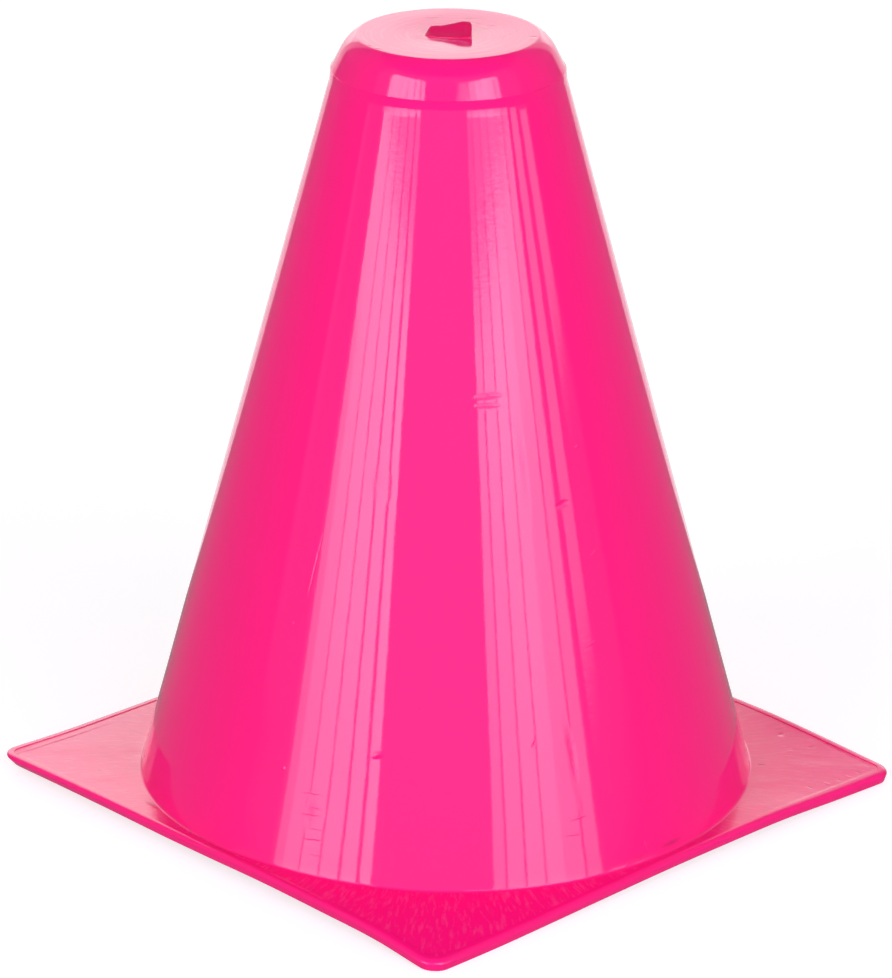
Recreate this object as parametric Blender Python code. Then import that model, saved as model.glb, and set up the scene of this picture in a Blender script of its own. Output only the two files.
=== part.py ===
"""Training cone: a thin-walled marker cone moulded in one piece with its square foot plate.

The origin is on the floor, under the middle of the plate, with +Z up. The plate's sides run
along X and Y. All lengths are in metres and all angles in radians.

The moulding is built the way its mould is cut: a plate with a rolled and beaded edge, a turned
body with its parting line, collar, shoulder and flat crown, a turned hollow one wall's thickness
inside the body, and the torn stub of the sprue on the crown.
"""

import math

import bmesh
import bpy

# Overall size, without the stub of the sprue
HEIGHT = 0.1801
PLATE_SIDE = 0.149

# Foot plate, from its underside to its flat top, with a low bead along the edge
PLATE_THICKNESS = 0.0025
PLATE_CORNER_RADIUS = 0.0056
EDGE_DRAFT = 0.0004
UNDERSIDE_ROUND = 0.0003
BEAD_WIDTH = 0.0023
BEAD_HEIGHT = 0.00025
BEAD_SLOPE = 0.0003
ROLL_WIDTH = 0.0015
ROLL_DROP = 0.0010

# Body: the land that the plate leaves outside the foot, the root of the flank and the wall
FOOT_MARGIN = 0.0031
FOOT_FILLET = 0.0007
WALL = 0.0015

# Parting line of the mould, where the flank ends in a steeper band and the collar steps in
PARTING_RADIUS = 0.02625
PARTING_BAND = 0.0025
PARTING_BAND_DRAFT = 0.00025
PARTING_LEDGE = 0.0001

# Collar, a straight cone, then the shoulder and the rim, two arcs that run on smoothly up to
# the crown, which is dished a little. The rim's draft is the one that the shoulder ends with.
COLLAR_RISE = 0.0040
COLLAR_DRAFT = math.radians(27)
SHOULDER_RADIUS = 0.0090
RIM_DRAFT = math.radians(59)
RIM_RADIUS = 0.0012
DISH_DEPTH = 0.0004

# Stub of the sprue: along the nip, across it and upwards, and how far it is turned about Z
GATE_LENGTH = 0.0103
GATE_DEPTH = 0.0067
GATE_HEIGHT = 0.0034
GATE_TURN = math.radians(-43.7)

# Sections of the stub from its low end to its high end, in shares of its length, depth and
# height: place along, front of the root, lip of the torn face (across, up), hollow of that face
# (across, up), ridge (across, up), back of the root
GATE_SECTION_SHARES = (
    (-0.50, -0.13, -0.12, 0.05, -0.07, 0.07, -0.01, 0.10, 0.04),
    (-0.45, -0.16, -0.16, 0.08, -0.06, 0.14, 0.09, 0.25, 0.15),
    (-0.39, -0.19, -0.19, 0.09, -0.03, 0.24, 0.25, 0.54, 0.34),
    (-0.13, -0.34, -0.36, 0.10, -0.09, 0.22, 0.19, 0.62, 0.31),
    (0.15, -0.52, -0.51, 0.15, -0.18, 0.30, 0.13, 0.90, 0.28),
    (0.33, -0.63, -0.63, 0.21, -0.22, 0.39, 0.10, 1.00, 0.27),
    (0.47, -0.66, -0.66, 0.24, -0.28, 0.56, 0.06, 0.94, 0.21),
    (0.50, -0.54, -0.52, 0.24, -0.24, 0.48, 0.03, 0.72, 0.15),
)

# How finely the round forms are cut, and how far a cutter runs past what it cuts
TURN_STEPS = 96
CORNER_STEPS = 8
ROLL_STEPS = 6
FILLET_STEPS = 4
SHOULDER_STEPS = 6
RIM_STEPS = 3
DISH_STEPS = 4
OVERRUN = 0.001
MERGE_DISTANCE = 0.000001
SHARP_ANGLE = math.radians(35)

# Glossy hot-pink plastic: linear colour, roughness
PINK = (0.913, 0.012, 0.238, 1.0)
PINK_ROUGHNESS = 0.22

# Sizes that follow from those above
BEAD_TOP = PLATE_THICKNESS + BEAD_HEIGHT
FOOT_RADIUS = PLATE_SIDE / 2 - FOOT_MARGIN
RIM_CENTRE_Z = HEIGHT - RIM_RADIUS
SHOULDER_CENTRE_Z = RIM_CENTRE_Z - (SHOULDER_RADIUS - RIM_RADIUS) * math.sin(RIM_DRAFT)
COLLAR_TOP_Z = SHOULDER_CENTRE_Z + SHOULDER_RADIUS * math.sin(COLLAR_DRAFT)
PARTING_Z = COLLAR_TOP_Z - COLLAR_RISE
COLLAR_FOOT_RADIUS = PARTING_RADIUS - PARTING_LEDGE
COLLAR_TOP_RADIUS = COLLAR_FOOT_RADIUS - COLLAR_RISE * math.tan(COLLAR_DRAFT)
SHOULDER_CENTRE_X = COLLAR_TOP_RADIUS - SHOULDER_RADIUS * math.cos(COLLAR_DRAFT)
CROWN_RADIUS = SHOULDER_CENTRE_X + (SHOULDER_RADIUS - RIM_RADIUS) * math.cos(RIM_DRAFT)
SHOULDER_CENTRE = (SHOULDER_CENTRE_X, SHOULDER_CENTRE_Z)
RIM_CENTRE = (CROWN_RADIUS, RIM_CENTRE_Z)
FLANK_TOP_RADIUS = PARTING_RADIUS + PARTING_BAND_DRAFT
FLANK_TOP_Z = PARTING_Z - PARTING_BAND
FLANK_SLOPE = (FOOT_RADIUS - FLANK_TOP_RADIUS) / (FLANK_TOP_Z - PLATE_THICKNESS)
FLANK_ANGLE = math.atan(FLANK_SLOPE)


def arc(centre, radius, start, end, steps):
    """Points of a circular arc from one angle to another, both ends included."""
    turns = [start + (end - start) * step / steps for step in range(steps + 1)]
    return [(centre[0] + radius * math.cos(t), centre[1] + radius * math.sin(t)) for t in turns]


def rounded_square(side, corner_radius, height):
    """Points of a square with round corners, counter-clockwise, at one height."""
    reach = side / 2 - corner_radius
    points = []
    for quarter in range(4):
        start = quarter * math.pi / 2
        end = start + math.pi / 2
        middle = (start + end) / 2
        centre = (math.copysign(reach, math.cos(middle)), math.copysign(reach, math.sin(middle)))
        points += [(x, y, height) for x, y in arc(centre, corner_radius, start, end, CORNER_STEPS)]
    return points


def dish(radius, rim_z):
    """The shallow dish of the crown, from just inside its rim to the axis."""
    points = []
    for step in range(1, DISH_STEPS + 1):
        share = 1 - step / DISH_STEPS
        sag = DISH_DEPTH * (1 + math.cos(math.pi * share)) / 2
        points.append((radius * share, rim_z - sag))
    return points


def new_object(name, form):
    """An object in the scene from a bmesh, with its faces turned outwards and shaded."""
    bmesh.ops.recalc_face_normals(form, faces=form.faces)
    mesh = bpy.data.meshes.new(name)
    form.to_mesh(mesh)
    form.free()
    mesh.shade_smooth()
    mesh.set_sharp_from_angle(angle=SHARP_ANGLE)
    piece = bpy.data.objects.new(name, mesh)
    bpy.context.scene.collection.objects.link(piece)
    return piece


def lofted(name, sections):
    """A closed solid through sections of equally many points."""
    form = bmesh.new()
    rows = [[form.verts.new(point) for point in section] for section in sections]
    for row, following in zip(rows, rows[1:]):
        for i in range(len(row)):
            form.faces.new((row[i - 1], row[i], following[i], following[i - 1]))
    form.faces.new(rows[0])
    form.faces.new(rows[-1])
    return new_object(name, form)


def turned(name, outline):
    """A closed solid turned about Z from an outline that starts and ends on the axis."""
    form = bmesh.new()
    chain = [form.verts.new((radius, 0, height)) for radius, height in outline]
    edges = [form.edges.new(pair) for pair in zip(chain, chain[1:])]
    bmesh.ops.spin(
        form,
        geom=chain + edges,
        cent=(0, 0, 0),
        axis=(0, 0, 1),
        angle=2 * math.pi,
        steps=TURN_STEPS,
        use_merge=True,
    )
    bmesh.ops.remove_doubles(form, verts=form.verts, dist=MERGE_DISTANCE)
    return new_object(name, form)


def foot_plate(name):
    """The square plate, with drafted sides, a rolled top edge and a low bead inside it."""
    widest_z = BEAD_TOP - ROLL_DROP
    levels = [(EDGE_DRAFT + UNDERSIDE_ROUND, 0), (EDGE_DRAFT, UNDERSIDE_ROUND)]
    for step in range(ROLL_STEPS + 1):
        turn = math.pi / 2 * step / ROLL_STEPS
        inset = ROLL_WIDTH * (1 - math.cos(turn))
        levels.append((inset, widest_z + ROLL_DROP * math.sin(turn)))
    levels.append((BEAD_WIDTH - BEAD_SLOPE, BEAD_TOP))
    levels.append((BEAD_WIDTH, PLATE_THICKNESS))
    sections = [
        rounded_square(PLATE_SIDE - 2 * inset, PLATE_CORNER_RADIUS - inset, height)
        for inset, height in levels
    ]
    return lofted(name, sections)


def body():
    """The cone before it is hollowed, from inside the plate up to the crown."""
    fillet = min(FOOT_FILLET, FOOT_MARGIN - BEAD_WIDTH)
    fillet_reach = fillet * (1 / math.cos(FLANK_ANGLE) - FLANK_SLOPE)
    fillet_centre = (FOOT_RADIUS + fillet_reach, PLATE_THICKNESS + fillet)
    root_z = PLATE_THICKNESS / 2
    outline = [(0, root_z), (fillet_centre[0], root_z)]
    outline += arc(fillet_centre, fillet, -math.pi / 2, FLANK_ANGLE - math.pi, FILLET_STEPS)
    outline.append((FLANK_TOP_RADIUS, FLANK_TOP_Z))
    outline.append((PARTING_RADIUS, PARTING_Z))
    outline.append((COLLAR_FOOT_RADIUS, PARTING_Z))
    outline += arc(SHOULDER_CENTRE, SHOULDER_RADIUS, COLLAR_DRAFT, RIM_DRAFT, SHOULDER_STEPS)
    outline += arc(RIM_CENTRE, RIM_RADIUS, RIM_DRAFT, math.pi / 2, RIM_STEPS)[1:]
    outline += dish(CROWN_RADIUS, HEIGHT)
    return turned("cone_body", outline)


def hollow():
    """The inside of the cone, open below, with each face one wall's thickness inside the body."""
    flank_top = (
        FLANK_TOP_RADIUS - WALL * math.cos(FLANK_ANGLE),
        FLANK_TOP_Z - WALL * math.sin(FLANK_ANGLE),
    )
    mouth_radius = flank_top[0] + FLANK_SLOPE * (flank_top[1] + OVERRUN)
    collar_foot = (
        COLLAR_FOOT_RADIUS - WALL * math.cos(COLLAR_DRAFT),
        PARTING_Z - WALL * math.sin(COLLAR_DRAFT),
    )
    ceiling_z = HEIGHT - WALL
    shoulder_curve = SHOULDER_RADIUS - WALL
    corner_draft = math.asin((ceiling_z - SHOULDER_CENTRE_Z) / shoulder_curve)
    outline = [(0, -OVERRUN), (mouth_radius, -OVERRUN), flank_top, collar_foot]
    outline += arc(SHOULDER_CENTRE, shoulder_curve, COLLAR_DRAFT, corner_draft, SHOULDER_STEPS)
    outline += dish(outline[-1][0], ceiling_z)
    return turned("cone_hollow", outline)


def gate_stub():
    """The torn stub of the sprue, rooted half a wall deep in the floor of the dish."""
    floor_z = HEIGHT - DISH_DEPTH
    root_z = floor_z - WALL / 2
    sections = []
    for along, front, lip, lip_up, dip, dip_up, ridge, ridge_up, back in GATE_SECTION_SHARES:
        x = along * GATE_LENGTH
        sections.append(
            (
                (x, front * GATE_DEPTH, root_z),
                (x, lip * GATE_DEPTH, floor_z + lip_up * GATE_HEIGHT),
                (x, dip * GATE_DEPTH, floor_z + dip_up * GATE_HEIGHT),
                (x, ridge * GATE_DEPTH, floor_z + ridge_up * GATE_HEIGHT),
                (x, back * GATE_DEPTH, root_z),
            )
        )
    stub = lofted("gate_stub", sections)
    stub.rotation_euler.z = GATE_TURN
    return stub


def combine(base, tool, operation):
    """Add a solid to the base, or cut it away, and keep it out of renders."""
    tool.parent = base
    tool.hide_render = True
    tool.display_type = "WIRE"
    step = base.modifiers.new(tool.name, "BOOLEAN")
    step.operation = operation
    step.solver = "EXACT"
    step.object = tool


def plastic():
    """Glossy hot-pink moulded plastic."""
    material = bpy.data.materials.new("moulded_pink_plastic")
    material.use_nodes = True
    shader = material.node_tree.nodes["Principled BSDF"]
    shader.inputs["Base Color"].default_value = PINK
    shader.inputs["Roughness"].default_value = PINK_ROUGHNESS
    shader.inputs["Metallic"].default_value = 0
    return material


def main():
    """Clear the scene and build the moulding, with its hollow and the stub of its sprue."""
    for leftover in list(bpy.data.objects):
        bpy.data.objects.remove(leftover, do_unlink=True)
    cone = foot_plate("cone_moulding")
    cone.data.materials.append(plastic())
    combine(cone, body(), "UNION")
    combine(cone, hollow(), "DIFFERENCE")
    combine(cone, gate_stub(), "UNION")


main()
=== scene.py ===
"""Training cone: a hot-pink marker cone moulded in one piece with its square foot plate.

The cone is one thin shell. Its plate has a beaded and rolled edge, its flank was turned in the
mould's steel, and a parting line divides the flank from a coned collar, a rounded shoulder and
a flat crown. The stub of the sprue stands torn off on the crown.
"""

from __future__ import annotations

import logging
import math
from dataclasses import dataclass
from enum import Enum

import bpy
import numpy as np
from mathutils import Matrix, Vector, noise


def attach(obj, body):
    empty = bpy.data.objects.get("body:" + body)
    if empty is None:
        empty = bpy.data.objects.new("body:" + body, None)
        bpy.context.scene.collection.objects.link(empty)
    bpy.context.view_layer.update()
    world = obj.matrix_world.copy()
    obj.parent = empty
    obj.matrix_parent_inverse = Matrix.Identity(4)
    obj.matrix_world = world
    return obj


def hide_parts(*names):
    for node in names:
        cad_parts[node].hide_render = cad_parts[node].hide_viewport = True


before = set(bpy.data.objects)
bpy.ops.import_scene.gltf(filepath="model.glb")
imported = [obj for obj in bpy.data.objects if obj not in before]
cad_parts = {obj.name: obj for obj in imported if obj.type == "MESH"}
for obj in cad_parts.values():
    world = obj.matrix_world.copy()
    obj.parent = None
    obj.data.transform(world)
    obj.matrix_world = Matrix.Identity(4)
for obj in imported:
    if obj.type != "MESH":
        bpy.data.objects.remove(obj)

MM = 0.001

# A length in metres, or a share, that counts as nothing
TINY = 1e-9

# What the pieces stand for in the CAD, and the body that they ride on
CAD_NODE = "cone_moulding"
BODY = "root"

# The photograph's width and height in pixels
PHOTO_SIZE = (892, 978)

# The direction that the camera stands in, seen from the cone, as an angle about Z from -Y
CAMERA_AZIMUTH = math.radians(-43.68)

log = logging.getLogger("training_cone")

# Short names for types: a profile is a list of radii and heights, and levels are places with
# the level at each
Tree = bpy.types.NodeTree
Socket = bpy.types.NodeSocket
Profile = list[tuple[float, float]]
Levels = tuple[tuple[float, float], ...]
Cell = tuple[float, float, float, float]


class Zone(Enum):
    """The parts of the moulding's skin, each with the finish that the mould gave it."""

    PLATE = 0
    EDGE = 1
    FLANK = 2
    COLLAR = 3
    CROWN = 4
    INSIDE = 5


def linear(code: str) -> tuple[float, float, float, float]:
    """Turn an sRGB hex colour into linear light.

    Args:
        code: Six hex digits after a hash sign.

    Returns:
        Red, green, blue and an alpha of 1.
    """
    values = [int(code[start : start + 2], 16) / 255 for start in (1, 3, 5)]
    light = [v / 12.92 if v <= 0.04045 else ((v + 0.055) / 1.055) ** 2.4 for v in values]
    return light[0], light[1], light[2], 1.0


def add_node(
    tree: Tree, kind: str, inputs: dict[str | int, object] | None = None, **settings: object
) -> bpy.types.Node:
    """Add one node, set it up and link it.

    Args:
        tree: The node tree that gets the node.
        kind: The node's type name, less the ShaderNode that it starts with.
        inputs: Sockets by name or number, each with a value or with the output that feeds it.
        **settings: Attributes of the node and their values.

    Returns:
        The new node.
    """
    node = tree.nodes.new(f"ShaderNode{kind}")
    for name, value in settings.items():
        setattr(node, name, value)
    for key, value in (inputs or {}).items():
        if isinstance(value, Socket):
            tree.links.new(value, node.inputs[key])
        else:
            node.inputs[key].default_value = value
    return node


def facing(azimuth: float, elevation: float = 0.0) -> Vector:
    """Give the direction at an azimuth measured from the camera's own, positive to its right.

    Args:
        azimuth: The angle about Z in radians, 0 towards the camera.
        elevation: The angle above the floor in radians.

    Returns:
        A unit vector from the cone's axis.
    """
    turn = CAMERA_AZIMUTH + azimuth
    flat = math.cos(elevation)
    return Vector((flat * math.sin(turn), -flat * math.cos(turn), math.sin(elevation)))


def arc(
    centre: tuple[float, float], radius: float, start: float, end: float, steps: int
) -> Profile:
    """List the points of a circular arc.

    Args:
        centre: The arc's centre.
        radius: Its radius.
        start: Its first angle in radians.
        end: Its last angle in radians.
        steps: How many chords it has.

    Returns:
        The points, both ends included.
    """
    turns = [start + (end - start) * step / steps for step in range(steps + 1)]
    return [(centre[0] + radius * math.cos(t), centre[1] + radius * math.sin(t)) for t in turns]


def shares(count: int) -> list[float]:
    """List the shares of a way that is gone in equal steps, the last of which is 1."""
    return [step / count for step in range(1, count + 1)]


def level_at(place: float, levels: Levels) -> float:
    """Read off the level at a place on the straight lines between known places and levels."""
    return float(np.interp(place, *zip(*levels)))


def catmull_rom(knots: list[np.ndarray], t: float | np.ndarray) -> np.ndarray:
    """Run a smooth curve through four knots.

    Args:
        knots: The knots before the span, at its start, at its end and after it.
        t: The place in the span, from 0 to 1.

    Returns:
        The curve's value there.
    """
    a, b, c, d = knots
    bend = 2 * a - 5 * b + 4 * c - d
    twist = 3 * b - a - 3 * c + d
    return 0.5 * (2 * b + (c - a) * t + bend * t**2 + twist * t**3)


def add_object(name: str, vertices: list, faces: list[tuple[int, ...]]) -> bpy.types.Object:
    """Add an object with a mesh of its own to the scene.

    Args:
        name: The name of the object and of its mesh.
        vertices: The mesh's points.
        faces: The mesh's faces, each as the numbers of its points.

    Returns:
        The object.
    """
    mesh = bpy.data.meshes.new(name)
    mesh.from_pydata(vertices, [], faces)
    piece = bpy.data.objects.new(name, mesh)
    bpy.context.scene.collection.objects.link(piece)
    return piece


@dataclass(frozen=True)
class ToolLines:
    """The lines that a cutting or polishing tool left in the mould's steel.

    They run round the axis or away from it. Their spacing is given in millimetres round the axis
    and across that, which is up a steep skin and else away from the axis. They run the way in
    which the spacing is larger. The radius, in millimetres, is where the first spacing holds.
    """

    around: float
    across: float
    depth: float
    steep: bool
    radius: float = 50.0
    detail: float = 3.0

    def relief(self, tree: Tree, place: Socket) -> Socket:
        """Draw the lines as a height.

        Args:
            tree: The node tree to work in.
            place: The object's coordinates.

        Returns:
            A socket with the height in millimetres.
        """
        flat = add_node(tree, "VectorMath", {0: place, 1: (1, 1, 0)}, operation="MULTIPLY")
        ray = add_node(tree, "VectorMath", {0: flat.outputs[0]}, operation="NORMALIZE")
        if self.steep:
            reach = add_node(tree, "SeparateXYZ", {0: place}).outputs["Z"]
        else:
            length = add_node(tree, "VectorMath", {0: flat.outputs[0]}, operation="LENGTH")
            reach = length.outputs["Value"]
        rise = add_node(tree, "CombineXYZ", {"Z": reach})
        turns = {0: ray.outputs[0], "Scale": self.radius / self.around}
        spread = add_node(tree, "VectorMath", turns, operation="SCALE")
        steps = (0, 0, 1 / (self.across * MM))
        where = {0: rise.outputs[0], 1: steps, 2: spread.outputs[0]}
        where = add_node(tree, "VectorMath", where, operation="MULTIPLY_ADD").outputs[0]
        look = {"Vector": where, "Scale": 1.0, "Detail": self.detail, "Roughness": 0.6}
        lines = {0: add_node(tree, "TexNoise", look).outputs[0], 1: self.depth}
        return add_node(tree, "Math", lines, operation="MULTIPLY").outputs[0]


@dataclass(frozen=True)
class Mark:
    """A scratch, dent, scuff or speck at one place on the skin.

    On the flank and the collar its place is an azimuth in degrees from the camera's, positive to
    its right, and a height in millimetres. On the plate and the crown it is the distance in
    millimetres to the camera's right and towards the camera. Its length and width are full sizes
    in millimetres, and its turn is in degrees, counter-clockwise as seen from outside. A positive
    height stands proud. Stain is a share of the dirt's colour, and scuff is roughness that it adds.
    """

    place: tuple[float, float]
    size: tuple[float, float]
    turn: float = 0.0
    height: float = 0.0
    stain: float = 0.0
    scuff: float = 0.0


@dataclass(frozen=True)
class MouldedPolyethylene:
    """Polyethylene, moulded under pressure and coloured through with a fluorescent pink pigment.

    The skin copies the polished steel of the mould, so it is glossy, with the fine lines of
    whatever tool cut that steel, and it is soft enough to be dented, scuffed and scratched. The
    film is the share of a paler colour where the highest of the first tool's lines were rubbed,
    and its range is given in shares of their depth. The mottle is how far the roughness strays,
    in blotches of its size. Marks have edges that are ragged in steps of a size and reach out by
    a distance, and they reach into the skin by at least a depth. Sizes are in millimetres.
    """

    name: str
    lines: tuple[ToolLines, ...] = ()
    marks: tuple[tuple[Matrix, Mark], ...] = ()
    colour: str = "#FF1079"
    dirt: str = "#8A1030"
    film: float = 0.0
    film_colour: str = "#FF9CC0"
    film_range: tuple[float, float] = (0.50, 0.72)
    ior: float = 1.5
    roughness: float = 0.05
    mottle: float = 0.01
    mottle_size: float = 9.0
    ragged_size: float = 0.7
    ragged_reach: float = 0.25
    mark_depth: float = 1.5

    def build(self) -> bpy.types.Material:
        """Make the material.

        Returns:
            The finished material.
        """
        material = bpy.data.materials.new(self.name)
        material.use_nodes = True
        tree = material.node_tree
        shader = tree.nodes["Principled BSDF"]
        shader.inputs["IOR"].default_value = self.ior
        shader.inputs["Base Color"].default_value = linear(self.colour)
        place = add_node(tree, "TexCoord").outputs["Object"]
        spots = self.spots(tree, place)
        heights = [(line.relief(tree, place), 1.0) for line in self.lines]
        heights += [(spot, mark.height) for spot, mark in spots if mark.height]
        scuffs = self.total(tree, [(spot, mark.scuff) for spot, mark in spots if mark.scuff])
        stains = self.total(tree, [(spot, mark.stain) for spot, mark in spots if mark.stain])
        relief = self.total(tree, heights)
        blotches = {"Vector": place, "Scale": 1 / (self.mottle_size * MM), "Detail": 4.0}
        mottle = add_node(tree, "TexNoise", blotches)
        # Nearly all of a noise lies between 0.3 and 0.7
        spread = {
            "Value": mottle.outputs[0],
            "From Min": 0.3,
            "From Max": 0.7,
            "To Min": self.roughness - self.mottle,
            "To Max": self.roughness + self.mottle,
        }
        rough = add_node(tree, "MapRange", spread)
        if scuffs:
            both = {0: rough.outputs[0], 1: scuffs}
            rough = add_node(tree, "Math", both, operation="ADD", use_clamp=True)
        tree.links.new(rough.outputs[0], shader.inputs["Roughness"])
        if self.film:
            rubbed = {
                "Value": heights[0][0],
                "From Min": self.film_range[0] * self.lines[0].depth,
                "From Max": self.film_range[1] * self.lines[0].depth,
                "To Max": self.film,
            }
            self.blend(tree, add_node(tree, "MapRange", rubbed).outputs[0], self.film_colour)
        if stains:
            self.blend(tree, stains, self.dirt)
        if relief:
            bump = add_node(tree, "Bump", {"Distance": MM, "Height": relief})
            tree.links.new(bump.outputs[0], shader.inputs["Normal"])
        return material

    def blend(self, tree: Tree, share: Socket, colour: str) -> None:
        """Blend a colour over what feeds the shader's base colour.

        Args:
            tree: The node tree to work in.
            share: How much of the colour shows.
            colour: The colour as sRGB hex.
        """
        target = tree.nodes["Principled BSDF"].inputs["Base Color"]
        under = target.links[0].from_socket if target.is_linked else tuple(target.default_value)
        parts = {"Factor": share, 6: under, 7: linear(colour)}
        mix = add_node(tree, "Mix", parts, data_type="RGBA", clamp_factor=True)
        tree.links.new(mix.outputs[2], target)

    def spots(self, tree: Tree, place: Socket) -> list[tuple[Socket, Mark]]:
        """Draw every mark as a soft spot with a ragged edge.

        Args:
            tree: The node tree to work in.
            place: The object's coordinates.

        Returns:
            For each mark, a socket that is 1 in its middle and 0 outside it, and the mark.
        """
        if not self.marks:
            return []
        grain = {"Vector": place, "Scale": 1 / (self.ragged_size * MM), "Detail": 2.0}
        ragged = add_node(tree, "TexNoise", grain)
        reach = self.ragged_reach * MM
        stray = {0: ragged.outputs[1], 1: (2 * reach,) * 3, 2: (-reach,) * 3}
        stray = add_node(tree, "VectorMath", stray, operation="MULTIPLY_ADD").outputs[0]
        near = add_node(tree, "VectorMath", {0: place, 1: stray}, operation="ADD").outputs[0]
        spots = []
        for frame_at, mark in self.marks:
            length, width = mark.size
            turned = frame_at @ Matrix.Rotation(math.radians(mark.turn), 4, "Z")
            fit = {
                "Vector": near,
                "Location": turned.translation,
                "Rotation": turned.to_euler(),
                "Scale": Vector((length / 2, width / 2, max(width, self.mark_depth))) * MM,
            }
            local = {"Vector": add_node(tree, "Mapping", fit, vector_type="TEXTURE").outputs[0]}
            spot = add_node(tree, "TexGradient", local, gradient_type="SPHERICAL")
            spots.append((spot.outputs["Fac"], mark))
        return spots

    def total(self, tree: Tree, parts: list[tuple[Socket, float]]) -> Socket | None:
        """Add up sockets, each times its own share.

        Args:
            tree: The node tree to work in.
            parts: The sockets and their shares.

        Returns:
            A socket with the sum, or nothing where there are no parts.
        """
        result = None
        for socket, share in parts:
            inputs = {0: socket, 1: share, 2: result if result else 0.0}
            result = add_node(tree, "Math", inputs, operation="MULTIPLY_ADD").outputs[0]
        return result


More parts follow.
